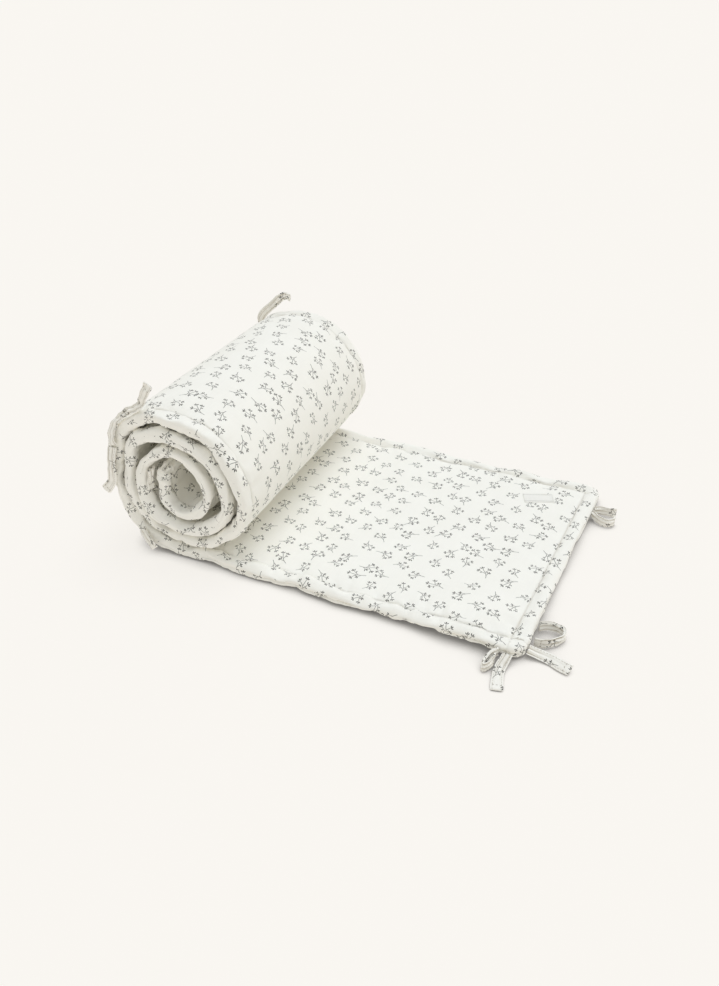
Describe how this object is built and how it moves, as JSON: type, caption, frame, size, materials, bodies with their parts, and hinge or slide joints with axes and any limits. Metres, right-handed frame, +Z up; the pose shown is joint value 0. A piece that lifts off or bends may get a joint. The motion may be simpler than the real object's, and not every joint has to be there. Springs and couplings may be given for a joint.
{
  "type": "rolled crib bumper",
  "caption": "Padded cotton crib bumper with a stitched border, cloth ties and a bare label, wound into a roll with a flat tail.",
  "frame": {"origin": "middle of the whole object's footprint, on the floor", "axes": "+X from the roll along the tail to its free end, +Y along the roll's axis from the near edge to the far edge, +Z up"},
  "size_m": [0.5714, 0.4044, 0.2176],
  "materials": {
    "printed_cotton": "matt plain-weave cotton, off-white with small grey sprigs",
    "tie_cotton": "matt folded cotton ribbon",
    "label_tape": "matt woven tape"
  },
  "bodies": {
    "root": {"panel": "printed_cotton", "label": "label_tape", "tie_end_near_tail": "tie_cotton", "tie_end_near_loop": "tie_cotton", "tie_end_far_rise": "tie_cotton", "tie_end_far_curl": "tie_cotton", "tie_near_loop": "tie_cotton", "tie_near_tail": "tie_cotton", "tie_top_near_rise": "tie_cotton", "tie_top_near_hang": "tie_cotton", "tie_top_far_rise": "tie_cotton", "tie_top_far_hang": "tie_cotton", "tie_low_near": "tie_cotton", "tie_inner": "tie_cotton"}
  },
  "joints": []
}
